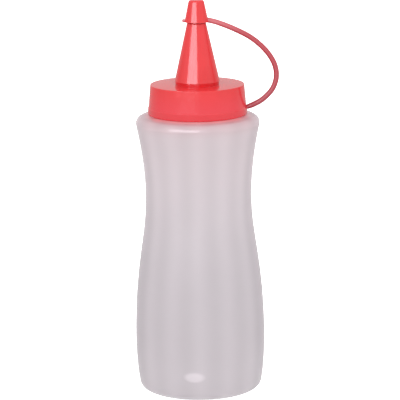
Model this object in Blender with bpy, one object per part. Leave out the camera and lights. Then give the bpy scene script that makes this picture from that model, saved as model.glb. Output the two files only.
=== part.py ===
"""Squeeze bottle with a screw cap, a conical nozzle and a tethered tip cap.

Metres, +Z up. The origin is on the bottle's axis, in the plane that it stands on, and the
tether's loop lies in the XZ plane, on the +X side.
"""

import math

import bmesh
import bpy
import numpy as np
from mathutils import Vector

MM = 0.001

# Bottle: a waisted body, blow moulded in soft polyethylene
WALL = 1.0 * MM
FOOT_RADIUS = 26.35 * MM
FOOT_ROUNDING = 3.6 * MM
BELLY_RADIUS = 31.65 * MM
BELLY_HEIGHT = 25.0 * MM
WAIST_RADIUS = 25.85 * MM
WAIST_HEIGHT = 93.7 * MM
SHOULDER_RADIUS = 29.9 * MM
SHOULDER_HEIGHT = 131.65 * MM
SHOULDER_ROUNDING = 3.5 * MM
SHOULDER_TOP = 135.5 * MM
FOOT_FLARE = math.radians(12.7)
SHOULDER_FLARE = math.radians(11.8)
SHOULDER_CROWN = math.radians(83.0)

# Handles of the curves that join those rings, along each curve's own direction
FOOT_HANDLE = 4.6 * MM
BELLY_HANDLE_DOWN = 6.0 * MM
BELLY_HANDLE_UP = 37.0 * MM
WAIST_HANDLE_DOWN = 17.8 * MM
WAIST_HANDLE_UP = 2.0 * MM
SHOULDER_HANDLE_DOWN = 23.2 * MM
SHOULDER_HANDLE_IN = 2.0 * MM
NECK_HANDLE_OUT = 1.8 * MM

# Neck, hidden in the cap
NECK_RADIUS = 20.8 * MM
NECK_BORE = 19.4 * MM
NECK_TOP = 148.3 * MM
NECK_FILLET = 1.2 * MM

# Screw cap: a drafted skirt with a band round its foot, and a hollow conical nozzle
CAP_FOOT = 135.9 * MM
CAP_TOP = 150.4 * MM
CAP_FOOT_RADIUS = 24.0 * MM
CAP_TOP_RADIUS = 22.7 * MM
CAP_ROUNDING = 0.7 * MM
CAP_CHAMFER = 0.4 * MM
BAND_HEIGHT = 3.7 * MM
BAND_STEP = 0.22 * MM
SKIRT_BORE_FOOT = 22.3 * MM
SKIRT_BORE_TOP = 21.3 * MM
CAP_UNDERSIDE = 148.6 * MM
COLLAR_RADIUS = 10.6 * MM
COLLAR_FILLET = 0.3 * MM
COLLAR_HEIGHT = 1.55 * MM
NOZZLE_FOOT_RADIUS = 10.85 * MM  # just wider than the collar under it
NOZZLE_END = 180.0 * MM
NOZZLE_END_RADIUS = 4.55 * MM
NOZZLE_WALL = 1.3 * MM
SPIGOT_RADIUS = 3.8 * MM
SPIGOT_TOP = 187.0 * MM
SPIGOT_TOP_RADIUS = 3.1 * MM
SPIGOT_CHAMFER = 0.4 * MM
ORIFICE_RADIUS = 1.5 * MM
ORIFICE_DEPTH = 4.0 * MM

# Tip cap: a tapered cup over the nozzle's end, with a pull tab and a tether
TIP_FOOT = 180.4 * MM
TIP_TOP = 191.0 * MM
TIP_FOOT_RADIUS = 5.75 * MM
TIP_TOP_RADIUS = 3.85 * MM
TIP_ROUNDING = 1.2 * MM
TIP_DRAFT = math.radians(10.0)
TIP_CHAMFER = 0.15 * MM
TIP_BORE_FOOT = 4.2 * MM
TIP_BORE_TOP = 3.2 * MM
TIP_BORE_END = 189.6 * MM
TIP_BORE_CHAMFER = 0.5 * MM
TAB_REACH = 6.9 * MM
TAB_WIDTH = 2.8 * MM
TAB_THICKNESS = 1.3 * MM
TAB_HEIGHT = 181.1 * MM
TAB_ROOT = 0.7 * MM  # how far the tab runs into the cup's wall
TAB_ROUNDING = 0.5 * MM

# The tether's centre line in the XZ plane, as x and z, from the tip cap to the cap's skirt
TETHER_ROUTE = [
    (4.9 * MM, 181.4 * MM),
    (10.0 * MM, 180.1 * MM),
    (18.2 * MM, 176.8 * MM),
    (26.4 * MM, 172.35 * MM),
    (33.1 * MM, 166.3 * MM),
    (37.15 * MM, 159.8 * MM),
    (38.1 * MM, 153.4 * MM),
    (36.05 * MM, 147.45 * MM),
    (30.75 * MM, 142.0 * MM),
    (27.2 * MM, 140.3 * MM),
    (24.4 * MM, 139.1 * MM),
]
TETHER_THICKNESS = 2.6 * MM
TETHER_WIDTH = 2.9 * MM
TETHER_START_THICKNESS = 2.5 * MM
TETHER_HINGE_THICKNESS = 1.9 * MM
TETHER_BLEND = 0.16  # share of the length over which an end swells to full thickness

BODY_SEGMENTS = 48
TIP_SEGMENTS = 24
TETHER_SIDES = 12
TETHER_STEPS = 4  # between two points of the route
SHARP_ANGLE = math.radians(35.0)  # a ridge sharper than this is shaded as a crease

FROSTED = (0.80, 0.76, 0.78, 1.0)
RED = (0.80, 0.05, 0.07, 1.0)


def clear_scene():
    for item in list(bpy.data.objects):
        bpy.data.objects.remove(item, do_unlink=True)


def plastic(name, colour, roughness, transmission):
    material = bpy.data.materials.new(name)
    material.use_nodes = True
    shader = material.node_tree.nodes["Principled BSDF"]
    shader.inputs["Base Color"].default_value = colour
    shader.inputs["Roughness"].default_value = roughness
    shader.inputs["Metallic"].default_value = 0.0
    shader.inputs["Transmission Weight"].default_value = transmission
    return material


def arc(centre, radius, start, end, steps):
    """Points on an arc, with angles from the outward direction, positive upwards."""
    angles = np.linspace(start, end, steps + 1)
    return [(centre[0] + radius * math.cos(a), centre[1] + radius * math.sin(a)) for a in angles]


def bezier(start, handle_1, handle_2, end, steps):
    """Points on a cubic curve, without its first point."""
    points = []
    for t in np.linspace(0.0, 1.0, steps + 1)[1:]:
        weights = ((1 - t) ** 3, 3 * t * (1 - t) ** 2, 3 * t * t * (1 - t), t**3)
        sides = zip(start, handle_1, handle_2, end)
        points.append(tuple(sum(w * v for w, v in zip(weights, side)) for side in sides))
    return points


def offset_inward(outline, distance):
    """The outline moved to the left of its own direction, as the inner face of a wall."""
    points = np.array(outline)
    along = np.gradient(points, axis=0)
    along /= np.linalg.norm(along, axis=1)[:, None]
    left = np.column_stack([-along[:, 1], along[:, 0]])
    return [tuple(p) for p in points + distance * left]


def body_outline():
    """The body's outer face, from the foot's rounding up to the foot of the neck."""
    foot = arc((FOOT_RADIUS, FOOT_ROUNDING), FOOT_ROUNDING, -math.pi / 2, -FOOT_FLARE, steps=6)
    low = foot[-1]
    belly = (BELLY_RADIUS, BELLY_HEIGHT)
    lower_wall = bezier(
        low,
        (low[0] + FOOT_HANDLE * math.sin(FOOT_FLARE), low[1] + FOOT_HANDLE * math.cos(FOOT_FLARE)),
        (BELLY_RADIUS, BELLY_HEIGHT - BELLY_HANDLE_DOWN),
        belly,
        steps=3,
    )
    waist = (WAIST_RADIUS, WAIST_HEIGHT)
    middle_wall = bezier(
        belly,
        (BELLY_RADIUS, BELLY_HEIGHT + BELLY_HANDLE_UP),
        (WAIST_RADIUS, WAIST_HEIGHT - WAIST_HANDLE_DOWN),
        waist,
        steps=9,
    )
    corner_centre = (SHOULDER_RADIUS - SHOULDER_ROUNDING, SHOULDER_HEIGHT)
    corner = arc(corner_centre, SHOULDER_ROUNDING, -SHOULDER_FLARE, SHOULDER_CROWN, steps=7)
    high = corner[0]
    upper_wall = bezier(
        waist,
        (WAIST_RADIUS, WAIST_HEIGHT + WAIST_HANDLE_UP),
        (
            high[0] - SHOULDER_HANDLE_DOWN * math.sin(SHOULDER_FLARE),
            high[1] - SHOULDER_HANDLE_DOWN * math.cos(SHOULDER_FLARE),
        ),
        high,
        steps=7,
    )
    crown = corner[-1]
    neck_foot = (NECK_RADIUS + NECK_FILLET, SHOULDER_TOP)
    shoulder = bezier(
        crown,
        (
            crown[0] - SHOULDER_HANDLE_IN * math.sin(SHOULDER_CROWN),
            crown[1] + SHOULDER_HANDLE_IN * math.cos(SHOULDER_CROWN),
        ),
        (neck_foot[0] + NECK_HANDLE_OUT, SHOULDER_TOP),
        neck_foot,
        steps=3,
    )
    return foot + lower_wall + middle_wall + upper_wall + corner[1:] + shoulder


def bottle_profile():
    """The whole section of the bottle, from the axis under its floor to the axis above it."""
    outer = body_outline()
    inner = offset_inward(outer, WALL)
    neck_outside = [
        (NECK_RADIUS, SHOULDER_TOP + NECK_FILLET),
        (NECK_RADIUS, NECK_TOP),
    ]
    neck_inside = [
        (NECK_BORE, NECK_TOP),
        (NECK_BORE, SHOULDER_TOP - WALL + NECK_FILLET),
        (NECK_BORE + NECK_FILLET, SHOULDER_TOP - WALL),
    ]
    floor = [(0.0, WALL)]
    return [(0.0, 0.0)] + outer + neck_outside + neck_inside + inner[::-1] + floor


def cap_profile():
    """The closed section of the screw cap and its nozzle, clear of the axis all round."""
    band_top = CAP_FOOT + BAND_HEIGHT
    draft = (CAP_FOOT_RADIUS - CAP_TOP_RADIUS) / (CAP_TOP - CAP_FOOT)
    band_radius = CAP_FOOT_RADIUS - draft * BAND_HEIGHT
    skirt = [
        (CAP_FOOT_RADIUS - CAP_CHAMFER, CAP_FOOT),
        (CAP_FOOT_RADIUS, CAP_FOOT + CAP_CHAMFER),
        (band_radius, band_top - BAND_STEP),
        (band_radius - BAND_STEP, band_top),
    ]
    rim_centre = (CAP_TOP_RADIUS - CAP_ROUNDING, CAP_TOP - CAP_ROUNDING)
    rim = arc(rim_centre, CAP_ROUNDING, 0.0, math.pi / 2, steps=4)
    collar_top = CAP_TOP + COLLAR_HEIGHT
    collar_lip = NOZZLE_FOOT_RADIUS - COLLAR_RADIUS
    nozzle = [
        (COLLAR_RADIUS + COLLAR_FILLET, CAP_TOP),
        (COLLAR_RADIUS, CAP_TOP + COLLAR_FILLET),
        (COLLAR_RADIUS, collar_top - collar_lip),
        (NOZZLE_FOOT_RADIUS, collar_top),
        (NOZZLE_END_RADIUS, NOZZLE_END),
        (SPIGOT_RADIUS, NOZZLE_END),
        (SPIGOT_TOP_RADIUS, SPIGOT_TOP - SPIGOT_CHAMFER),
        (SPIGOT_TOP_RADIUS - SPIGOT_CHAMFER, SPIGOT_TOP),
    ]
    passage = [
        (ORIFICE_RADIUS, SPIGOT_TOP),
        (ORIFICE_RADIUS, SPIGOT_TOP - ORIFICE_DEPTH),
        (SPIGOT_RADIUS - NOZZLE_WALL, NOZZLE_END - NOZZLE_WALL),
        (COLLAR_RADIUS - NOZZLE_WALL, CAP_UNDERSIDE),
    ]
    skirt_inside = [(SKIRT_BORE_TOP, CAP_UNDERSIDE), (SKIRT_BORE_FOOT, CAP_FOOT)]
    return skirt + rim + nozzle + passage + skirt_inside


def tip_profile():
    """The section of the tip cap's cup, from the axis on its top to the axis inside it."""
    crown_centre = (TIP_TOP_RADIUS - TIP_ROUNDING, TIP_TOP - TIP_ROUNDING)
    crown = arc(crown_centre, TIP_ROUNDING, TIP_DRAFT, math.pi / 2, steps=4)
    inside = [
        (0.0, TIP_BORE_END),
        (TIP_BORE_TOP - TIP_BORE_CHAMFER, TIP_BORE_END),
        (TIP_BORE_TOP, TIP_BORE_END - TIP_BORE_CHAMFER),
        (TIP_BORE_FOOT, TIP_FOOT),
    ]
    outside = [
        (TIP_FOOT_RADIUS - TIP_CHAMFER, TIP_FOOT),
        (TIP_FOOT_RADIUS, TIP_FOOT + TIP_CHAMFER),
    ]
    return inside + outside + crown + [(0.0, TIP_TOP)]


def spin_mesh(name, profile, segments, closed):
    """A mesh turned round Z from a section given as (radius, height) points."""
    mesh = bpy.data.meshes.new(name)
    work = bmesh.new()
    verts = [work.verts.new((radius, 0.0, height)) for radius, height in profile]
    edges = [work.edges.new(pair) for pair in zip(verts, verts[1:])]
    if closed:
        edges.append(work.edges.new((verts[-1], verts[0])))
    bmesh.ops.spin(
        work,
        geom=verts + edges,
        cent=(0.0, 0.0, 0.0),
        axis=(0.0, 0.0, 1.0),
        angle=math.tau,
        steps=segments,
        use_merge=True,
    )
    bmesh.ops.remove_doubles(work, verts=work.verts, dist=0.001 * MM)
    bmesh.ops.recalc_face_normals(work, faces=work.faces)
    work.to_mesh(mesh)
    work.free()
    return mesh


def add_object(name, mesh, material):
    piece = bpy.data.objects.new(name, mesh)
    bpy.context.scene.collection.objects.link(piece)
    mesh.materials.append(material)
    mesh.shade_smooth()
    mesh.set_sharp_from_angle(angle=SHARP_ANGLE)
    return piece


def smooth_route(points, steps):
    """Catmull-Rom points through a route in the XZ plane."""
    route = [np.array((x, 0.0, z)) for x, z in points]
    route = [2 * route[0] - route[1]] + route + [2 * route[-1] - route[-2]]
    path = []
    for before, start, end, after in zip(route, route[1:], route[2:], route[3:]):
        for t in np.arange(steps) / steps:
            bend = 2 * before - 5 * start + 4 * end - after
            twist = 3 * start - before - 3 * end + after
            path.append(0.5 * (2 * start + (end - before) * t + bend * t**2 + twist * t**3))
    path.append(route[-2])
    return path


def tether_thickness(share):
    """The strap's thickness at a share of its length: it thins at both of its ends."""
    start = min(1.0, share / TETHER_BLEND)
    end = min(1.0, (1.0 - share) / TETHER_BLEND)
    from_start = TETHER_START_THICKNESS + (TETHER_THICKNESS - TETHER_START_THICKNESS) * start
    from_end = TETHER_HINGE_THICKNESS + (TETHER_THICKNESS - TETHER_HINGE_THICKNESS) * end
    return min(from_start, from_end)


def tether_mesh(name):
    """An oval strap along the tether's route, closed at both ends."""
    path = smooth_route(TETHER_ROUTE, TETHER_STEPS)
    mesh = bpy.data.meshes.new(name)
    work = bmesh.new()
    rings = []
    across = Vector((0.0, 1.0, 0.0))
    for index, point in enumerate(path):
        before = path[max(index - 1, 0)]
        after = path[min(index + 1, len(path) - 1)]
        outward = Vector(after - before).normalized().cross(across)
        thickness = tether_thickness(index / (len(path) - 1))
        ring = []
        for side in range(TETHER_SIDES):
            angle = math.tau * side / TETHER_SIDES
            step = outward * (math.cos(angle) * thickness / 2)
            step += across * (math.sin(angle) * TETHER_WIDTH / 2)
            ring.append(work.verts.new(Vector(point) + step))
        rings.append(ring)
    for low, high in zip(rings, rings[1:]):
        for side in range(TETHER_SIDES):
            following = (side + 1) % TETHER_SIDES
            work.faces.new((low[side], low[following], high[following], high[side]))
    work.faces.new(rings[0])
    work.faces.new(rings[-1])
    bmesh.ops.recalc_face_normals(work, faces=work.faces)
    work.to_mesh(mesh)
    work.free()
    return mesh


def tab_mesh(name):
    """A small rounded tongue on the tip cap's foot, on the side away from the tether."""
    inner_end = TIP_FOOT_RADIUS - TAB_ROOT
    length = TAB_REACH - inner_end
    mesh = bpy.data.meshes.new(name)
    work = bmesh.new()
    bmesh.ops.create_cube(work, size=1.0)
    bmesh.ops.scale(work, vec=(length, TAB_WIDTH, TAB_THICKNESS), verts=work.verts)
    centre = (-(inner_end + TAB_REACH) / 2, 0.0, TAB_HEIGHT)
    bmesh.ops.translate(work, vec=centre, verts=work.verts)
    free_edges = [e for e in work.edges if all(v.co.x < centre[0] for v in e.verts)]
    bmesh.ops.bevel(work, geom=free_edges, offset=TAB_ROUNDING, segments=2, profile=0.5, affect="EDGES")
    work.to_mesh(mesh)
    work.free()
    return mesh


def make_bottle(material):
    mesh = spin_mesh("bottle", bottle_profile(), BODY_SEGMENTS, closed=False)
    return add_object("bottle", mesh, material)


def make_screw_cap(material):
    mesh = spin_mesh("screw_cap", cap_profile(), BODY_SEGMENTS, closed=True)
    return add_object("screw_cap", mesh, material)


def make_tip_cap(material):
    """The cup, its pull tab and the tether, joined as the one moulding that they are."""
    cup_mesh = spin_mesh("tip_cap", tip_profile(), TIP_SEGMENTS, closed=False)
    cup = add_object("tip_cap", cup_mesh, material)
    for name, build in (("tether", tether_mesh), ("pull_tab", tab_mesh)):
        extra = add_object(name, build(name), material)
        join = cup.modifiers.new(name, "BOOLEAN")
        join.operation = "UNION"
        join.solver = "EXACT"
        join.object = extra
        extra.hide_render = True
        extra.display_type = "WIRE"
    return cup


def main():
    clear_scene()
    frosted = plastic("frosted_plastic", FROSTED, roughness=0.35, transmission=0.5)
    red = plastic("red_plastic", RED, roughness=0.25, transmission=0.0)
    make_bottle(frosted)
    make_screw_cap(red)
    make_tip_cap(red)


main()
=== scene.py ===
"""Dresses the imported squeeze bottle: frosted body, red screw cap, nozzle, tip cap and tether."""

import math

import bmesh
import bpy
import numpy as np
from mathutils import Matrix, Vector


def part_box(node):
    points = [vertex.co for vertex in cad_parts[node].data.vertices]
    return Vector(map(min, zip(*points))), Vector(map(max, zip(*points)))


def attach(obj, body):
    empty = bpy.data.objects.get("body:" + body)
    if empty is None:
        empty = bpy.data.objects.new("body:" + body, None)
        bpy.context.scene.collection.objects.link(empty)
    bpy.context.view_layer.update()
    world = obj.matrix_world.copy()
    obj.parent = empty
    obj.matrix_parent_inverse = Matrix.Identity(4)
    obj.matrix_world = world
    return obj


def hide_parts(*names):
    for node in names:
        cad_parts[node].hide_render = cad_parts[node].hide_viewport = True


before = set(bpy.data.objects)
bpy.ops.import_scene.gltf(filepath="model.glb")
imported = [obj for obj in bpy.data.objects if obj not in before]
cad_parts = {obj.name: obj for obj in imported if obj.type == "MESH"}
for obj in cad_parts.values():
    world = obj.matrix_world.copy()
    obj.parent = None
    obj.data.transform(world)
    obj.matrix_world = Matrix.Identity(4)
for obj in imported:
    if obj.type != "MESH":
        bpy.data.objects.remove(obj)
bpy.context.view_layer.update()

MM = 0.001
SHARP_ANGLE = math.radians(35.0)

# The camera: a square picture, from the front and slightly above
PICTURE_PIXELS = 400
FOCAL_PIXELS = 2270.0
CAMERA_PLACE = Vector((0.65, -1080.0, 326.7)) * MM
CAMERA_PITCH = math.radians(12.2)
CAMERA_ROLL = math.radians(-0.7)
SENSOR_WIDTH = 36.0
NEAREST_SEEN = 0.05
FARTHEST_SEEN = 20.0

# Bottle, as its outline from the foot to the neck, with the handles of its cubic curves
WALL = 1.0 * MM
FOOT_RADIUS = 26.35 * MM
FOOT_ROUNDING = 3.6 * MM
BELLY_RADIUS = 31.65 * MM
BELLY_HEIGHT = 25.0 * MM
WAIST_RADIUS = 25.85 * MM
WAIST_HEIGHT = 93.7 * MM
SHOULDER_RADIUS = 29.9 * MM
SHOULDER_HEIGHT = 131.65 * MM
SHOULDER_ROUNDING = 3.5 * MM
SHOULDER_TOP = 135.95 * MM
FOOT_FLARE = math.radians(12.7)
SHOULDER_FLARE = math.radians(11.8)
SHOULDER_CROWN = math.radians(83.0)
FOOT_HANDLE = 4.6 * MM
BELLY_HANDLE_DOWN = 6.0 * MM
BELLY_HANDLE_UP = 37.0 * MM
WAIST_HANDLE_DOWN = 17.8 * MM
WAIST_HANDLE_UP = 2.0 * MM
SHOULDER_HANDLE_DOWN = 23.2 * MM
SHOULDER_HANDLE_IN = 1.0 * MM
NECK_HANDLE_OUT = 2.4 * MM
NECK_RADIUS = 20.8 * MM
NECK_BORE = 19.4 * MM
NECK_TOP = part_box("bottle")[1].z
NECK_FILLET = 1.2 * MM
FOOT_STEPS = 16
LOWER_WALL_STEPS = 24
MIDDLE_WALL_STEPS = 40
UPPER_WALL_STEPS = 28
CORNER_STEPS = 16
SHOULDER_STEPS = 8
NECK_FILLET_STEPS = 5
BODY_SEGMENTS = 280

# Screw cap
CAP_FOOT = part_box("screw_cap")[0].z + 0.06 * MM
CAP_TOP = 150.4 * MM
CAP_FOOT_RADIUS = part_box("screw_cap")[1].y
CAP_TOP_RADIUS = 22.7 * MM
CAP_ROUNDING = 0.22 * MM
CAP_ROUNDING_STEPS = 10
CAP_FOOT_ROUNDING = 0.5 * MM
CAP_FOOT_STEPS = 8
BAND_TOP = CAP_FOOT + 3.54 * MM
BAND_STEP = 0.28 * MM
BAND_RADIUS = CAP_FOOT_RADIUS - 0.1 * MM
SKIRT_BORE_FOOT = 22.3 * MM
SKIRT_BORE_TOP = 21.3 * MM
CAP_UNDERSIDE = 148.6 * MM
COLLAR_FOOT_RADIUS = 10.45 * MM
COLLAR_RADIUS = 10.7 * MM
COLLAR_HEIGHT = 1.6 * MM
COLLAR_LIP = 0.1 * MM
NOZZLE_FOOT_RADIUS = 10.85 * MM
NOZZLE_END = 180.0 * MM
NOZZLE_END_RADIUS = 4.55 * MM
NOZZLE_END_STEP = 0.1 * MM
NOZZLE_END_CHAMFER = 0.3 * MM
NOZZLE_WALL = 1.3 * MM
SPIGOT_RADIUS = 3.8 * MM
SPIGOT_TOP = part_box("screw_cap")[1].z
SPIGOT_TOP_RADIUS = 3.1 * MM
SPIGOT_CHAMFER = 0.4 * MM
ORIFICE_RADIUS = 1.5 * MM
ORIFICE_DEPTH = 4.0 * MM

# How far inside its ends a straight side has the points that keep its shading even
CAP_INSET = 0.2 * MM
CONE_INSET = 0.25 * MM

# Tip cap
TIP_FOOT = 180.4 * MM
TIP_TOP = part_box("tip_cap")[1].z
TIP_FOOT_RADIUS = 5.75 * MM
TIP_LIP = 0.2 * MM
TIP_LIP_MIDDLE = (0.05 * MM, 0.06 * MM)
TIP_TOP_RADIUS = 3.85 * MM
TIP_ROUNDING = 1.2 * MM
TIP_ROUNDING_STEPS = 12
TIP_DRAFT = math.radians(11.5)
TIP_BORE_FOOT = 4.2 * MM
TIP_BORE_TOP = 3.2 * MM
TIP_BORE_END = 189.6 * MM
TIP_BORE_CHAMFER = 0.5 * MM
TIP_SEGMENTS = 96
TAB_REACH = 6.9 * MM
TAB_WIDTH = 2.8 * MM
TAB_THICKNESS = 1.3 * MM
TAB_HEIGHT = 181.1 * MM
TAB_OVERLAP = 0.7 * MM
TAB_ROUNDING = 0.5 * MM
TAB_ROUNDING_STEPS = 4

# The tether's centre line in the XZ plane, as x and z, from the tip cap to the cap's skirt
TETHER_ROUTE = [
    (4.9 * MM, 181.4 * MM),
    (10.0 * MM, 180.1 * MM),
    (18.2 * MM, 176.8 * MM),
    (26.4 * MM, 172.35 * MM),
    (33.1 * MM, 166.3 * MM),
    (37.15 * MM, 159.8 * MM),
    (38.1 * MM, 153.4 * MM),
    (36.1 * MM, 147.5 * MM),
    (31.6 * MM, 142.75 * MM),
    (27.6 * MM, 140.4 * MM),
    (24.4 * MM, 139.1 * MM),
    (23.4 * MM, 138.7 * MM),
]
TETHER_THICKNESS = 2.6 * MM
TETHER_WIDTH = 2.9 * MM
TETHER_START_THICKNESS = 2.5 * MM
TETHER_HINGE_THICKNESS = 1.9 * MM
TETHER_BLEND = 0.16
TETHER_SIDES = 32
TETHER_STEPS = 12

# Low relief of the blown wall: upright flutes, and an oval pip near the foot, front and back
FLUTES = 14
FLUTE_DEPTH = 0.16 * MM
FLUTE_FOOT = 8.0 * MM
FLUTE_TOP = 129.0 * MM
FLUTE_FADE = 16.0 * MM
PIP_PLACE = Vector((-2.9, -30.0, 12.4)) * MM
PIP_RADII = Vector((6.1, 5.0, 3.1)) * MM
PIP_HEIGHT = 0.35 * MM

# Where the pip's slope and its painted highlight, a pale spot, start and end, in shares of its
# radii
PIP_SLOPE = (0.35, 1.1)
PIP_HIGHLIGHT_SPAN = (0.55, 1.0)

# How far the raw noise reaches, for an even spread between two values
NOISE_SPAN = (0.3, 0.7)

# Frosted plastic: the light that it sends back and lets through, low on the bottle and high on it
FROSTED_FRONT = (0.790, 0.757, 0.780)
FROSTED_THROUGH = (0.888, 0.857, 0.880)
FROSTED_FRONT_HIGH = (0.797, 0.757, 0.777)
FROSTED_THROUGH_HIGH = (0.895, 0.857, 0.877)
HAZE = (0.93, 0.90, 0.915)
THROUGH_SHARE = 0.5
CLEAR_SHARE = 0.2
# Painted shade by height: how much lighter or darker the plastic is painted at the foot, over the
# belly and at the top, for how the light falls
LOW_HEIGHTS = (6.0 * MM, 30.0 * MM)
HIGH_HEIGHTS = (55.0 * MM, 120.0 * MM)
PAINTED_SHADING_FOOT = 0.965
PAINTED_SHADING_BELLY = 0.93
PAINTED_SHADING_TOP = 1.025
STREAK_AMOUNT = 0.025
CLOUD_AMOUNT = 0.005
CLOUD_SCALE = 38.0
# Painted highlight: how much lighter the pale spot over the pip is painted
PIP_PAINTED_HIGHLIGHT = 0.20
FROSTED_IOR = 1.5
FROSTED_ROUGHNESS = (0.23, 0.26)
FROSTED_POLISH_SCALE = 160.0
FROSTED_COAT = 1.0
FROSTED_COAT_ROUGHNESS = 0.16
FROSTED_GRAIN_SCALE = 2600.0
FROSTED_GRAIN_STRENGTH = 0.15
FROSTED_GRAIN_DEPTH = 0.05 * MM

# Red light from the cap in the frosted plastic, by distance from the cap's foot. It rises from
# GLOW_SIDES at the two sides to full at the front and back, where |y| / radius is in GLOW_FRONTAL
GLOW_FRONTAL = (0.15, 0.75)
GLOW_SIDES = 0.4
GLOW_FRONT = (0.73, 0.47, 0.50)
GLOW_THROUGH = (0.81, 0.57, 0.60)
GLOW_REACH = 10.0 * MM
EDGE_COLOUR = (0.94, 0.49, 0.51)
EDGE_LIGHT = (0.43, 0.10, 0.10)
EDGE_REACH = 2.8 * MM

# Red plastic of the caps, darker where it flowed, with a painted sheen down the skirt and painted
# shade on the band; duller plastic of the strap and its tab, with painted light and shade along it
RED = (0.71, 0.026, 0.031)
RED_DARK = (0.68, 0.024, 0.029)
# Painted sheen: the skirt paler towards its foot, as light from below. Painted shade: the band
# darker
RED_SKIRT_PAINTED_SHEEN = (0.71, 0.034, 0.048)
RED_BAND_PAINTED_SHADE = (0.69, 0.032, 0.044)
RED_ROUGHNESS = (0.13, 0.19)
STRAP_RED = (0.43, 0.048, 0.064)
# Painted light: the strap paler near the tip cap. Painted shade: darker low down by the skirt
STRAP_PAINTED_LIGHT = (0.56, 0.12, 0.14)
STRAP_PAINTED_SHADE = (0.37, 0.040, 0.058)
STRAP_ROUGHNESS = (0.42, 0.52)
STRAP_LIGHT_HEIGHTS = (174.0 * MM, 182.0 * MM)
STRAP_SHADE_HEIGHTS = (138.0 * MM, 160.0 * MM)
RED_IOR = 1.5
RED_FLOW_SCALE = 110.0
RED_FLOW_SPAN = (0.35, 0.65)
RED_POLISH_SCALE = 300.0
RED_GRAIN_SCALE = 1500.0
RED_GRAIN_STRENGTH = 0.08
RED_GRAIN_DEPTH = 0.04 * MM

# The light of the room, as radiance from each side, with the spans over which it changes
ROOM_BACK = 0.71
ROOM_FRONT = 1.3
ROOM_TURN = (-0.35, 0.35)
ROOM_TOP = 0.25
ROOM_RISE = (0.2, 0.9)
FLOOR_RADIUS = 3.0
FLOOR_SEGMENTS = 96
FLOOR_COLOUR = (0.80, 0.80, 0.80)
FLOOR_GLOW = 0.15
FLOOR_CAMERA_GLOW = 0.8
SHEEN_FRONT = 1.1
SHEEN_BACK = 0.55
SHEEN_TURN = (-0.5, 1.0)

# The key light: a wide softbox at the front left
KEY_AZIMUTH = -26.5
KEY_ELEVATION = 21.0
KEY_DISTANCE = 1.2
KEY_WIDTH = 1.2
KEY_HEIGHT = 0.70
KEY_RADIANCE = 7.0
KEY_COLOUR = (1.0, 0.925, 1.0)
KEY_TARGET = Vector((0.0, 0.0, 0.13))


def arc(centre, radius, start, end, steps):
    """Points on an arc, with angles from the outward direction, positive upwards."""
    angles = np.linspace(start, end, steps + 1)
    return [(centre[0] + radius * math.cos(a), centre[1] + radius * math.sin(a)) for a in angles]


def bezier(start, handle_1, handle_2, end, steps):
    """Points on a cubic curve, without its first point."""
    points = []
    for t in np.linspace(0.0, 1.0, steps + 1)[1:]:
        weights = ((1 - t) ** 3, 3 * t * (1 - t) ** 2, 3 * t * t * (1 - t), t**3)
        sides = zip(start, handle_1, handle_2, end)
        points.append(tuple(sum(w * v for w, v in zip(weights, side)) for side in sides))
    return points


def offset_inward(outline, distance):
    """The outline moved to the left of its own direction, as the inner face of a wall."""
    points = np.array(outline)
    along = np.gradient(points, axis=0)
    along /= np.linalg.norm(along, axis=1)[:, None]
    left = np.column_stack([-along[:, 1], along[:, 0]])
    return [tuple(p) for p in points + distance * left]


def straight(start, end, inset):
    """A straight side, with a point just inside each end to keep its shading even."""
    start, end = np.array(start), np.array(end)
    step = (end - start) * inset / np.linalg.norm(end - start)
    return [tuple(p) for p in (start, start + step, end - step, end)]


def body_outline():
    """The body's outer face, from the foot's rounding up to the foot of the neck."""
    foot = arc((FOOT_RADIUS, FOOT_ROUNDING), FOOT_ROUNDING, -math.pi / 2, -FOOT_FLARE, FOOT_STEPS)
    low = foot[-1]
    belly = (BELLY_RADIUS, BELLY_HEIGHT)
    lower_wall = bezier(
        low,
        (low[0] + FOOT_HANDLE * math.sin(FOOT_FLARE), low[1] + FOOT_HANDLE * math.cos(FOOT_FLARE)),
        (BELLY_RADIUS, BELLY_HEIGHT - BELLY_HANDLE_DOWN),
        belly,
        LOWER_WALL_STEPS,
    )
    waist = (WAIST_RADIUS, WAIST_HEIGHT)
    middle_wall = bezier(
        belly,
        (BELLY_RADIUS, BELLY_HEIGHT + BELLY_HANDLE_UP),
        (WAIST_RADIUS, WAIST_HEIGHT - WAIST_HANDLE_DOWN),
        waist,
        MIDDLE_WALL_STEPS,
    )
    corner_centre = (SHOULDER_RADIUS - SHOULDER_ROUNDING, SHOULDER_HEIGHT)
    corner = arc(
        corner_centre,
        SHOULDER_ROUNDING,
        -SHOULDER_FLARE,
        SHOULDER_CROWN,
        CORNER_STEPS,
    )
    high = corner[0]
    upper_wall = bezier(
        waist,
        (WAIST_RADIUS, WAIST_HEIGHT + WAIST_HANDLE_UP),
        (
            high[0] - SHOULDER_HANDLE_DOWN * math.sin(SHOULDER_FLARE),
            high[1] - SHOULDER_HANDLE_DOWN * math.cos(SHOULDER_FLARE),
        ),
        high,
        UPPER_WALL_STEPS,
    )
    crown = corner[-1]
    neck_foot = (NECK_RADIUS + NECK_FILLET, SHOULDER_TOP)
    shoulder = bezier(
        crown,
        (
            crown[0] - SHOULDER_HANDLE_IN * math.sin(SHOULDER_CROWN),
            crown[1] + SHOULDER_HANDLE_IN * math.cos(SHOULDER_CROWN),
        ),
        (neck_foot[0] + NECK_HANDLE_OUT, SHOULDER_TOP),
        neck_foot,
        SHOULDER_STEPS,
    )
    return foot + lower_wall + middle_wall + upper_wall + corner[1:] + shoulder


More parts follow.
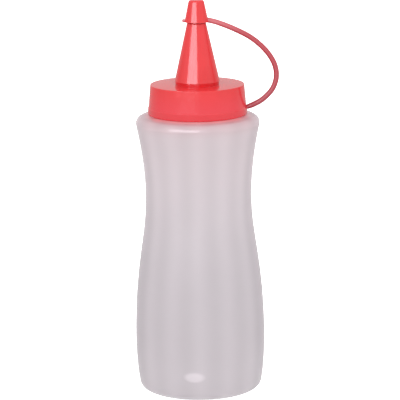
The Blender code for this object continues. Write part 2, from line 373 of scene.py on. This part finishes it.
def bottle_profile():
    """The section of the shell, from the middle of its foot round to the middle of its floor."""
    outer = body_outline()
    inner = offset_inward(outer, WALL)
    neck_outside = arc(
        (NECK_RADIUS + NECK_FILLET, SHOULDER_TOP + NECK_FILLET),
        NECK_FILLET,
        -math.pi / 2,
        -math.pi,
        NECK_FILLET_STEPS,
    )[1:]
    neck_outside.append((NECK_RADIUS, NECK_TOP))
    neck_inside = [(NECK_BORE, NECK_TOP)]
    neck_inside += arc(
        (NECK_BORE + NECK_FILLET, SHOULDER_TOP - WALL + NECK_FILLET),
        NECK_FILLET,
        math.pi,
        1.5 * math.pi,
        NECK_FILLET_STEPS,
    )
    floor = [(0.0, WALL)]
    return [(0.0, 0.0)] + outer + neck_outside + neck_inside + inner[::-1] + floor


def cap_profile():
    """The section of the screw cap and its nozzle: outside, passage and the skirt's inside."""
    foot_centre = (CAP_FOOT_RADIUS - CAP_FOOT_ROUNDING, CAP_FOOT + CAP_FOOT_ROUNDING)
    foot = arc(foot_centre, CAP_FOOT_ROUNDING, -math.pi / 2, 0.0, CAP_FOOT_STEPS)
    band = straight(foot[-1], (BAND_RADIUS, BAND_TOP - BAND_STEP), CAP_INSET)
    rim_centre = (CAP_TOP_RADIUS - CAP_ROUNDING, CAP_TOP - CAP_ROUNDING)
    rim = arc(rim_centre, CAP_ROUNDING, 0.0, math.pi / 2, CAP_ROUNDING_STEPS)
    skirt = foot + band[1:] + straight((BAND_RADIUS - BAND_STEP, BAND_TOP), rim[0], CAP_INSET)
    collar_top = CAP_TOP + COLLAR_HEIGHT
    nozzle = [(COLLAR_FOOT_RADIUS, CAP_TOP), (COLLAR_RADIUS, collar_top - COLLAR_LIP)]
    nozzle += straight(
        (NOZZLE_FOOT_RADIUS, collar_top),
        (NOZZLE_END_RADIUS + NOZZLE_END_STEP, NOZZLE_END - NOZZLE_END_CHAMFER),
        CONE_INSET,
    )
    nozzle += [
        (NOZZLE_END_RADIUS - NOZZLE_END_STEP, NOZZLE_END),
        (SPIGOT_RADIUS, NOZZLE_END),
        (SPIGOT_TOP_RADIUS, SPIGOT_TOP - SPIGOT_CHAMFER),
        (SPIGOT_TOP_RADIUS - SPIGOT_CHAMFER, SPIGOT_TOP),
    ]
    passage = [
        (ORIFICE_RADIUS, SPIGOT_TOP),
        (ORIFICE_RADIUS, SPIGOT_TOP - ORIFICE_DEPTH),
        (SPIGOT_RADIUS - NOZZLE_WALL, NOZZLE_END - NOZZLE_WALL),
        (COLLAR_RADIUS - NOZZLE_WALL, CAP_UNDERSIDE),
    ]
    skirt_inside = [(SKIRT_BORE_TOP, CAP_UNDERSIDE), (SKIRT_BORE_FOOT, CAP_FOOT)]
    return skirt + rim[1:] + nozzle + passage + skirt_inside


def tip_profile():
    """The section of the cup over the nozzle's end."""
    crown_centre = (TIP_TOP_RADIUS - TIP_ROUNDING, TIP_TOP - TIP_ROUNDING)
    crown = arc(crown_centre, TIP_ROUNDING, TIP_DRAFT, math.pi / 2, TIP_ROUNDING_STEPS)
    inside = [
        (0.0, TIP_BORE_END),
        (TIP_BORE_TOP - TIP_BORE_CHAMFER, TIP_BORE_END),
        (TIP_BORE_TOP, TIP_BORE_END - TIP_BORE_CHAMFER),
        (TIP_BORE_FOOT, TIP_FOOT),
    ]
    outside = [
        (TIP_FOOT_RADIUS - TIP_LIP, TIP_FOOT),
        (TIP_FOOT_RADIUS - TIP_LIP_MIDDLE[0], TIP_FOOT + TIP_LIP_MIDDLE[1]),
    ]
    outside += straight((TIP_FOOT_RADIUS, TIP_FOOT + TIP_LIP), crown[0], CONE_INSET)
    return inside + outside + crown[1:] + [(0.0, TIP_TOP)]


def spin_mesh(name, profile, segments, closed):
    """A profile of radii and heights turned round the axis, and joined end to end if closed."""
    mesh = bpy.data.meshes.new(name)
    work = bmesh.new()
    turns = [math.tau * index / segments for index in range(segments)]
    rings = []
    for radius, height in profile:
        if radius == 0.0:
            rings.append([work.verts.new((0.0, 0.0, height))] * segments)
        else:
            places = [(radius * math.cos(turn), radius * math.sin(turn), height) for turn in turns]
            rings.append([work.verts.new(place) for place in places])
    bands = list(zip(rings, rings[1:]))
    if closed:
        bands.append((rings[-1], rings[0]))
    for low, high in bands:
        for index in range(segments):
            following = (index + 1) % segments
            corners = (low[index], low[following], high[following], high[index])
            work.faces.new(dict.fromkeys(corners))
    bmesh.ops.recalc_face_normals(work, faces=work.faces)
    work.to_mesh(mesh)
    work.free()
    return mesh


def smooth_step(value, low, high):
    """0 below low and 1 above high, with a smooth rise between them."""
    share = np.clip((value - low) / (high - low), 0.0, 1.0)
    return share * share * (3 - 2 * share)


def wall_relief(x, y, z):
    """How far the blown wall stands out or in at a place, from its flutes and its pip."""
    azimuth = np.arctan2(x, -y)
    fade = smooth_step(z, FLUTE_FOOT, FLUTE_FOOT + FLUTE_FADE)
    fade = fade * (1.0 - smooth_step(z, FLUTE_TOP - FLUTE_FADE, FLUTE_TOP))
    flutes = FLUTE_DEPTH / 2 * fade * np.cos(FLUTES * azimuth)
    from_pip = np.sqrt(
        ((x - PIP_PLACE.x) / PIP_RADII.x) ** 2
        + ((-abs(y) - PIP_PLACE.y) / PIP_RADII.y) ** 2
        + ((z - PIP_PLACE.z) / PIP_RADII.z) ** 2
    )
    pip = PIP_HEIGHT * (1.0 - smooth_step(from_pip, *PIP_SLOPE))
    return flutes + pip


def bottle_mesh(name):
    """The shell with its relief, which leaves the neck round."""
    mesh = spin_mesh(name, bottle_profile(), BODY_SEGMENTS, closed=False)
    for vertex in mesh.vertices:
        place = vertex.co
        radius = math.hypot(place.x, place.y)
        if radius > NECK_RADIUS:
            grown = 1.0 + wall_relief(*place) / radius
            place.x *= grown
            place.y *= grown
    return mesh


def add_piece(name, mesh, material, node):
    """A piece of the object, which stands for a node and takes its finish from a slot."""
    piece = bpy.data.objects.new(name, mesh)
    bpy.context.scene.collection.objects.link(piece)
    mesh.materials.append(material)
    mesh.shade_smooth()
    mesh.set_sharp_from_angle(angle=SHARP_ANGLE)
    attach(piece, "root")
    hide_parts(node)
    return piece


def smooth_route(points, steps):
    """A smooth curve through points, with a number of steps between each two."""
    route = [np.array((x, 0.0, z)) for x, z in points]
    route = [2 * route[0] - route[1]] + route + [2 * route[-1] - route[-2]]
    path = []
    for before, start, end, after in zip(route, route[1:], route[2:], route[3:]):
        for t in np.arange(steps) / steps:
            bend = 2 * before - 5 * start + 4 * end - after
            twist = 3 * start - before - 3 * end + after
            path.append(0.5 * (2 * start + (end - before) * t + bend * t**2 + twist * t**3))
    path.append(route[-2])
    return path


def tether_thickness(share):
    """The strap's thickness at a share of its length, thinner at both its ends."""
    start = smooth_step(share, 0.0, TETHER_BLEND)
    end = smooth_step(1.0 - share, 0.0, TETHER_BLEND)
    from_start = TETHER_START_THICKNESS + (TETHER_THICKNESS - TETHER_START_THICKNESS) * start
    from_end = TETHER_HINGE_THICKNESS + (TETHER_THICKNESS - TETHER_HINGE_THICKNESS) * end
    return min(from_start, from_end)


def tether_mesh(name):
    """The strap: oval rings along its route, a little wider from front to back than thick."""
    path = smooth_route(TETHER_ROUTE, TETHER_STEPS)
    mesh = bpy.data.meshes.new(name)
    work = bmesh.new()
    rings = []
    across = Vector((0.0, 1.0, 0.0))
    for index, point in enumerate(path):
        before = path[max(index - 1, 0)]
        after = path[min(index + 1, len(path) - 1)]
        outward = Vector(after - before).normalized().cross(across)
        thickness = tether_thickness(index / (len(path) - 1))
        ring = []
        for side in range(TETHER_SIDES):
            angle = math.tau * side / TETHER_SIDES
            step = outward * (math.cos(angle) * thickness / 2)
            step += across * (math.sin(angle) * TETHER_WIDTH / 2)
            ring.append(work.verts.new(Vector(point) + step))
        rings.append(ring)
    for low, high in zip(rings, rings[1:]):
        for side in range(TETHER_SIDES):
            following = (side + 1) % TETHER_SIDES
            work.faces.new((low[side], low[following], high[following], high[side]))
    work.faces.new(rings[0])
    work.faces.new(rings[-1])
    bmesh.ops.recalc_face_normals(work, faces=work.faces)
    work.to_mesh(mesh)
    work.free()
    return mesh


def tab_mesh(name):
    """The pull tab: a flat tongue whose free end is rounded."""
    inner_end = TIP_FOOT_RADIUS - TAB_OVERLAP
    length = TAB_REACH - inner_end
    mesh = bpy.data.meshes.new(name)
    work = bmesh.new()
    bmesh.ops.create_cube(work, size=1.0)
    bmesh.ops.scale(work, vec=(length, TAB_WIDTH, TAB_THICKNESS), verts=work.verts)
    centre = (-(inner_end + TAB_REACH) / 2, 0.0, TAB_HEIGHT)
    bmesh.ops.translate(work, vec=centre, verts=work.verts)
    free_edges = [e for e in work.edges if any(v.co.x < centre[0] for v in e.verts)]
    bmesh.ops.bevel(
        work,
        geom=free_edges,
        offset=TAB_ROUNDING,
        segments=TAB_ROUNDING_STEPS,
        profile=0.5,
        affect="EDGES",
    )
    work.to_mesh(mesh)
    work.free()
    return mesh


# Materials

# The Mix node's colour sockets, whose names its other sockets have as well
MIX_COLOURS = (6, 7)
MIX_RESULT = 2


def new_material(name):
    material = bpy.data.materials.new(name)
    material.use_nodes = True
    tree = material.node_tree
    tree.nodes.clear()
    return material, tree


def add_node(tree, kind, **values):
    """A node with its inputs set by name, where an underscore stands for a space."""
    node = tree.nodes.new(kind)
    for name, value in values.items():
        node.inputs[name.replace("_", " ")].default_value = value
    return node


def feed(tree, socket, value):
    """Links an input to another node's output, or sets it to a number or a colour."""
    if isinstance(value, bpy.types.NodeSocket):
        tree.links.new(value, socket)
    elif isinstance(value, tuple):
        socket.default_value = (*value, 1.0)
    else:
        socket.default_value = value


def calculate(tree, operation, *values):
    """A Math node on outputs or plain numbers."""
    node = tree.nodes.new("ShaderNodeMath")
    node.operation = operation
    for socket, value in zip(node.inputs, values):
        feed(tree, socket, value)
    return node.outputs[0]


def ease(tree, value, low, high, start, end):
    """start below low and end above high, with a smooth step between them."""
    node = tree.nodes.new("ShaderNodeMapRange")
    node.interpolation_type = "SMOOTHSTEP"
    limits = {"From Min": low, "From Max": high, "To Min": start, "To Max": end}
    for name, limit in limits.items():
        node.inputs[name].default_value = limit
    tree.links.new(value, node.inputs["Value"])
    return node.outputs["Result"]


def tint(tree, amount, colour_1, colour_2):
    """colour_1 where amount is 0 and colour_2 where it is 1; each is an output or a colour."""
    node = tree.nodes.new("ShaderNodeMix")
    node.data_type = "RGBA"
    tree.links.new(amount, node.inputs["Factor"])
    for index, colour in zip(MIX_COLOURS, (colour_1, colour_2)):
        feed(tree, node.inputs[index], colour)
    return node.outputs[MIX_RESULT]


def dim(tree, colour, factor):
    """A colour times a factor."""
    node = tree.nodes.new("ShaderNodeVectorMath")
    node.operation = "SCALE"
    tree.links.new(colour, node.inputs[0])
    tree.links.new(factor, node.inputs["Scale"])
    return node.outputs[0]


def hypotenuse(tree, side_1, side_2):
    """The length across two sides at a right angle."""
    squares = [calculate(tree, "POWER", side, 2.0) for side in (side_1, side_2)]
    return calculate(tree, "SQRT", calculate(tree, "ADD", *squares))


def mix_shaders(tree, share, shader_1, shader_2):
    """shader_1 where share is 0 and shader_2 where it is 1; share is an output or a number."""
    node = tree.nodes.new("ShaderNodeMixShader")
    for socket, value in zip(node.inputs, (share, shader_1, shader_2)):
        feed(tree, socket, value)
    return node.outputs["Shader"]


def split(tree, vector):
    """The three coordinates of a vector."""
    axes = tree.nodes.new("ShaderNodeSeparateXYZ")
    tree.links.new(vector, axes.inputs[0])
    return axes.outputs


def object_place(tree):
    """The place on the object, and its three coordinates."""
    place = tree.nodes.new("ShaderNodeTexCoord").outputs["Object"]
    return place, split(tree, place)


def noise(tree, place, scale, detail=2.0):
    """A smooth random value over the surface, with scale in waves per metre."""
    node = add_node(tree, "ShaderNodeTexNoise", Scale=scale, Detail=detail)
    tree.links.new(place, node.inputs["Vector"])
    return node.outputs["Fac"]


def mottle(tree, place, scale, start, end):
    """A value that wanders between start and end over the surface."""
    return ease(tree, noise(tree, place, scale), *NOISE_SPAN, start, end)


def bump(tree, height, strength, distance):
    """A normal that is turned as by a relief of this height."""
    node = add_node(tree, "ShaderNodeBump", Strength=strength, Distance=distance)
    tree.links.new(height, node.inputs["Height"])
    return node.outputs["Normal"]


def frosted_lightness(tree, place, x, y, z):
    """How light the frosted plastic is: painted shade by height, with faint streaks, clouds and a
    painted highlight on the pip.
    """
    azimuth = calculate(tree, "ARCTAN2", x, calculate(tree, "MULTIPLY", y, -1.0))
    crests = calculate(tree, "COSINE", calculate(tree, "MULTIPLY", azimuth, float(FLUTES)))
    streaks = calculate(tree, "MULTIPLY", crests, STREAK_AMOUNT)
    clouds = mottle(tree, place, CLOUD_SCALE, -CLOUD_AMOUNT, CLOUD_AMOUNT)
    # Painted shade by height: darker over the belly, lighter at the foot and towards the top
    low = ease(tree, z, *LOW_HEIGHTS, PAINTED_SHADING_FOOT, PAINTED_SHADING_BELLY)
    high = ease(tree, z, *HIGH_HEIGHTS, 0.0, PAINTED_SHADING_TOP - PAINTED_SHADING_BELLY)
    height = calculate(tree, "ADD", low, high)
    factor = calculate(tree, "ADD", calculate(tree, "ADD", streaks, clouds), height)

    # Painted highlight: a pale spot over the pip, front and back
    mirrored = tree.nodes.new("ShaderNodeCombineXYZ")
    to_front = calculate(tree, "MULTIPLY", calculate(tree, "ABSOLUTE", y), -1.0)
    for axis, value in zip("XYZ", (x, to_front, z)):
        tree.links.new(value, mirrored.inputs[axis])
    from_pip = tree.nodes.new("ShaderNodeMapping")
    from_pip.vector_type = "TEXTURE"
    from_pip.inputs["Location"].default_value = PIP_PLACE
    from_pip.inputs["Scale"].default_value = PIP_RADII
    tree.links.new(mirrored.outputs[0], from_pip.inputs["Vector"])
    distance = tree.nodes.new("ShaderNodeVectorMath")
    distance.operation = "LENGTH"
    tree.links.new(from_pip.outputs[0], distance.inputs[0])
    pip = ease(tree, distance.outputs["Value"], *PIP_HIGHLIGHT_SPAN, PIP_PAINTED_HIGHLIGHT, 0.0)
    return calculate(tree, "ADD", factor, pip)


def cap_glow(tree, x, y, z):
    """How much red light there is from the cap: far from its foot, and close to it."""
    out_of_axis = hypotenuse(tree, x, y)
    from_skirt = calculate(tree, "SUBTRACT", out_of_axis, CAP_FOOT_RADIUS)
    under_skirt = calculate(tree, "SUBTRACT", z, CAP_FOOT)
    from_cap = hypotenuse(tree, from_skirt, under_skirt)
    frontal = calculate(tree, "DIVIDE", calculate(tree, "ABSOLUTE", y), out_of_axis)
    strength = ease(tree, frontal, *GLOW_FRONTAL, GLOW_SIDES, 1.0)
    return [
        calculate(tree, "MULTIPLY", ease(tree, from_cap, 0.0, reach, 1.0, 0.0), strength)
        for reach in (GLOW_REACH, EDGE_REACH)
    ]


def frosted_plastic():
    """Milky, thinly see-through plastic, with faint streaks, painted shade by height, a painted
    highlight on the pip and a pink glow from the cap.
    """
    material, tree = new_material("frosted_plastic")
    links = tree.links
    place, (x, y, z) = object_place(tree)
    factor = frosted_lightness(tree, place, x, y, z)
    blush = ease(tree, z, *HIGH_HEIGHTS, 0.0, 1.0)
    glow, edge = cap_glow(tree, x, y, z)
    front = tint(tree, blush, FROSTED_FRONT, FROSTED_FRONT_HIGH)
    front = tint(tree, edge, tint(tree, glow, front, GLOW_FRONT), EDGE_COLOUR)
    behind = tint(tree, blush, FROSTED_THROUGH, FROSTED_THROUGH_HIGH)
    behind = tint(tree, edge, tint(tree, glow, behind, GLOW_THROUGH), EDGE_COLOUR)

    skin = add_node(
        tree,
        "ShaderNodeBsdfPrincipled",
        IOR=FROSTED_IOR,
        Coat_Weight=FROSTED_COAT,
        Coat_Roughness=FROSTED_COAT_ROUGHNESS,
        Emission_Strength=1.0,
    )
    links.new(dim(tree, front, factor), skin.inputs["Base Color"])
    links.new(tint(tree, edge, (0.0, 0.0, 0.0), EDGE_LIGHT), skin.inputs["Emission Color"])
    polish = mottle(tree, place, FROSTED_POLISH_SCALE, *FROSTED_ROUGHNESS)
    links.new(polish, skin.inputs["Roughness"])
    grain = noise(tree, place, FROSTED_GRAIN_SCALE, detail=3.0)
    grained = bump(tree, grain, FROSTED_GRAIN_STRENGTH, FROSTED_GRAIN_DEPTH)
    links.new(grained, skin.inputs["Normal"])
    through = tree.nodes.new("ShaderNodeBsdfTranslucent")
    links.new(dim(tree, behind, factor), through.inputs["Color"])
    haze = add_node(tree, "ShaderNodeBsdfTransparent", Color=(*HAZE, 1.0))
    milk = mix_shaders(tree, THROUGH_SHARE, skin.outputs["BSDF"], through.outputs["BSDF"])
    frosted = mix_shaders(tree, CLEAR_SHARE, milk, haze.outputs["BSDF"])
    out = tree.nodes.new("ShaderNodeOutputMaterial")
    links.new(frosted, out.inputs["Surface"])
    return material


def finish_red(tree, place, colour, roughness):
    """The moulded surface over a colour, with its lowest and highest roughness and its grain."""
    skin = add_node(tree, "ShaderNodeBsdfPrincipled", IOR=RED_IOR)
    tree.links.new(colour, skin.inputs["Base Color"])
    polish = mottle(tree, place, RED_POLISH_SCALE, *roughness)
    tree.links.new(polish, skin.inputs["Roughness"])
    grain = noise(tree, place, RED_GRAIN_SCALE)
    grained = bump(tree, grain, RED_GRAIN_STRENGTH, RED_GRAIN_DEPTH)
    tree.links.new(grained, skin.inputs["Normal"])
    out = tree.nodes.new("ShaderNodeOutputMaterial")
    tree.links.new(skin.outputs["BSDF"], out.inputs["Surface"])


def red_plastic():
    """Glossy moulded plastic with faint flow marks, with a painted sheen that makes it paler down
    the skirt and painted shade on the band.
    """
    material, tree = new_material("red_plastic")
    place, (_, _, height) = object_place(tree)
    flow = ease(tree, noise(tree, place, RED_FLOW_SCALE), *RED_FLOW_SPAN, 0.0, 1.0)
    # Painted sheen, paler down the skirt, and painted shade on the band
    painted_sheen_down_skirt = ease(tree, height, BAND_TOP, CAP_TOP, 1.0, 0.0)
    painted_shade_on_band = ease(tree, height, BAND_TOP - BAND_STEP, BAND_TOP, 1.0, 0.0)
    colour = tint(tree, painted_sheen_down_skirt, tint(tree, flow, RED, RED_DARK), RED_SKIRT_PAINTED_SHEEN)
    finish_red(tree, place, tint(tree, painted_shade_on_band, colour, RED_BAND_PAINTED_SHADE), RED_ROUGHNESS)
    return material


def strap_plastic():
    """The strap's duller plastic, with painted light at its end by the tip cap and painted shade
    by the skirt.
    """
    material, tree = new_material("strap_plastic")
    place, (_, _, height) = object_place(tree)
    # Painted light near the tip cap and painted shade by the skirt, by height
    painted_light = ease(tree, height, *STRAP_LIGHT_HEIGHTS, 0.0, 1.0)
    painted_shade = ease(tree, height, *STRAP_SHADE_HEIGHTS, 1.0, 0.0)
    colour = tint(tree, painted_shade, tint(tree, painted_light, STRAP_RED, STRAP_PAINTED_LIGHT), STRAP_PAINTED_SHADE)
    finish_red(tree, place, colour, STRAP_ROUGHNESS)
    return material


# Stage


def floor_material():
    """Pale, white to the camera, and dimmer towards the back where it is seen in gloss."""
    material, tree = new_material("studio_floor")
    path = tree.nodes.new("ShaderNodeLightPath")
    strength = calculate(
        tree, "MULTIPLY_ADD", path.outputs["Is Camera Ray"], FLOOR_CAMERA_GLOW, FLOOR_GLOW
    )
    glow = add_node(tree, "ShaderNodeEmission")
    tree.links.new(strength, glow.inputs["Strength"])
    diffuse = add_node(tree, "ShaderNodeBsdfDiffuse", Color=(*FLOOR_COLOUR, 1.0))
    add = tree.nodes.new("ShaderNodeAddShader")
    tree.links.new(diffuse.outputs[0], add.inputs[0])
    tree.links.new(glow.outputs[0], add.inputs[1])
    bearing = tree.nodes.new("ShaderNodeVectorMath")
    bearing.operation = "NORMALIZE"
    tree.links.new(object_place(tree)[0], bearing.inputs[0])
    towards_back = split(tree, bearing.outputs[0])["Y"]
    sheen = add_node(tree, "ShaderNodeEmission")
    brightness = ease(tree, towards_back, *SHEEN_TURN, SHEEN_FRONT, SHEEN_BACK)
    tree.links.new(brightness, sheen.inputs["Strength"])
    glossy = path.outputs["Is Glossy Ray"]
    out = tree.nodes.new("ShaderNodeOutputMaterial")
    seen = mix_shaders(tree, glossy, add.outputs[0], sheen.outputs[0])
    tree.links.new(seen, out.inputs["Surface"])
    return material


def build_floor():
    mesh = bpy.data.meshes.new("studio_floor")
    work = bmesh.new()
    bmesh.ops.create_circle(work, cap_ends=True, radius=FLOOR_RADIUS, segments=FLOOR_SEGMENTS)
    work.to_mesh(mesh)
    work.free()
    mesh.materials.append(floor_material())
    floor = bpy.data.objects.new("studio_floor", mesh)
    bpy.context.scene.collection.objects.link(floor)


def build_world():
    """A white backdrop for the camera, and a studio with a dimmer back for the light."""
    world = bpy.data.worlds.new("studio")
    bpy.context.scene.world = world
    world.use_nodes = True
    tree = world.node_tree
    tree.nodes.clear()
    place = tree.nodes.new("ShaderNodeTexCoord")
    axes = split(tree, place.outputs["Generated"])
    sides = ease(tree, axes["Y"], *ROOM_TURN, ROOM_FRONT, ROOM_BACK)
    top = ease(tree, axes["Z"], *ROOM_RISE, 0.0, ROOM_TOP)
    white = (1.0, 1.0, 1.0, 1.0)
    room = add_node(tree, "ShaderNodeBackground", Color=white)
    tree.links.new(calculate(tree, "ADD", sides, top), room.inputs["Strength"])
    backdrop = add_node(tree, "ShaderNodeBackground", Color=white, Strength=1.0)
    path = tree.nodes.new("ShaderNodeLightPath")
    seen = mix_shaders(tree, path.outputs["Is Camera Ray"], room.outputs[0], backdrop.outputs[0])
    out = tree.nodes.new("ShaderNodeOutputWorld")
    tree.links.new(seen, out.inputs["Surface"])


def build_key_light():
    """An area light that faces the bottle; azimuth 0 is towards -Y and 90 towards +X."""
    turn, rise = math.radians(KEY_AZIMUTH), math.radians(KEY_ELEVATION)
    away = Vector(
        (
            math.sin(turn) * math.cos(rise),
            -math.cos(turn) * math.cos(rise),
            math.sin(rise),
        )
    )
    data = bpy.data.lights.new("key_light", "AREA")
    data.shape = "RECTANGLE"
    data.size = KEY_WIDTH
    data.size_y = KEY_HEIGHT
    data.energy = KEY_RADIANCE * math.pi * KEY_WIDTH * KEY_HEIGHT
    data.color = KEY_COLOUR
    light = bpy.data.objects.new("key_light", data)
    bpy.context.scene.collection.objects.link(light)
    light.location = KEY_TARGET + KEY_DISTANCE * away
    light.rotation_euler = (-away).to_track_quat("-Z", "Y").to_euler()
    light.visible_diffuse = False


def build_camera():
    data = bpy.data.cameras.new("photo_camera")
    data.sensor_width = SENSOR_WIDTH
    data.lens = FOCAL_PIXELS / PICTURE_PIXELS * SENSOR_WIDTH
    data.clip_start = NEAREST_SEEN
    data.clip_end = FARTHEST_SEEN
    camera = bpy.data.objects.new("photo_camera", data)
    bpy.context.scene.collection.objects.link(camera)
    tilt = Matrix.Rotation(math.pi / 2 - CAMERA_PITCH, 4, "X")
    roll = Matrix.Rotation(CAMERA_ROLL, 4, "Z")
    camera.matrix_world = Matrix.Translation(CAMERA_PLACE) @ tilt @ roll
    bpy.context.scene.camera = camera


def main():
    bpy.context.scene.view_settings.view_transform = "Standard"
    build_camera()
    build_world()
    build_floor()
    build_key_light()
    frosted = frosted_plastic()
    red = red_plastic()
    strap = strap_plastic()
    add_piece("bottle_body", bottle_mesh("bottle_body"), frosted, "bottle")
    cap = spin_mesh("cap_and_nozzle", cap_profile(), BODY_SEGMENTS, closed=True)
    add_piece("cap_and_nozzle", cap, red, "screw_cap")
    cup = spin_mesh("tip_cup", tip_profile(), TIP_SEGMENTS, closed=False)
    add_piece("tip_cup", cup, red, "tip_cap")
    add_piece("pull_tab", tab_mesh("pull_tab"), strap, "tip_cap")
    add_piece("tether_strap", tether_mesh("tether_strap"), strap, "tip_cap")


main()
